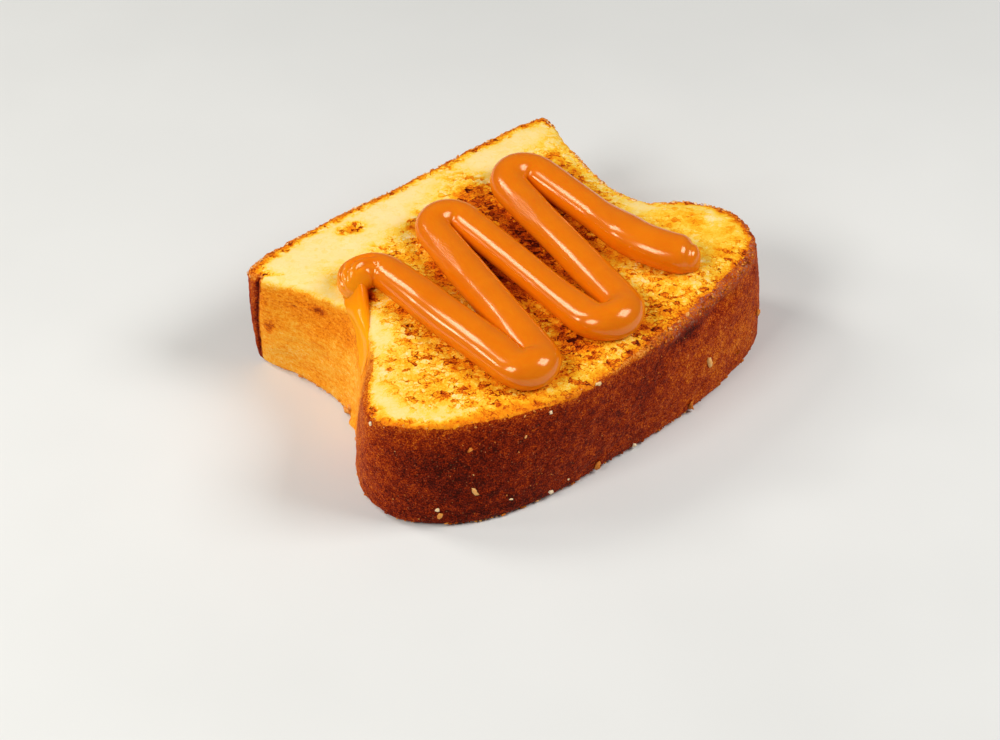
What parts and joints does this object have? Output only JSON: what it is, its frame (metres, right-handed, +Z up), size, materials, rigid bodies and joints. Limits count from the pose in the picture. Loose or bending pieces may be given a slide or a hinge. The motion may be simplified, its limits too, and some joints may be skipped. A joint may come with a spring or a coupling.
{
  "type": "french toast",
  "caption": "Thick slice of tin loaf, egg-soaked and pan fried, with a piped zigzag of soft caramel on its upper face.",
  "frame": {"origin": "under the middle of the slice's box, on the surface it lies on", "axes": "+X across the loaf's width, +Y towards the flat crust from the tin's floor, +Z up through the slice's thickness"},
  "size_m": [0.1562, 0.1181, 0.0504],
  "materials": {
    "fried_bread": "mottled golden crumb with a dark brown crust, slightly greasy",
    "caramel": "smooth, wet gloss"
  },
  "bodies": {
    "root": {"toast": "fried_bread", "caramel": "caramel"}
  },
  "joints": []
}
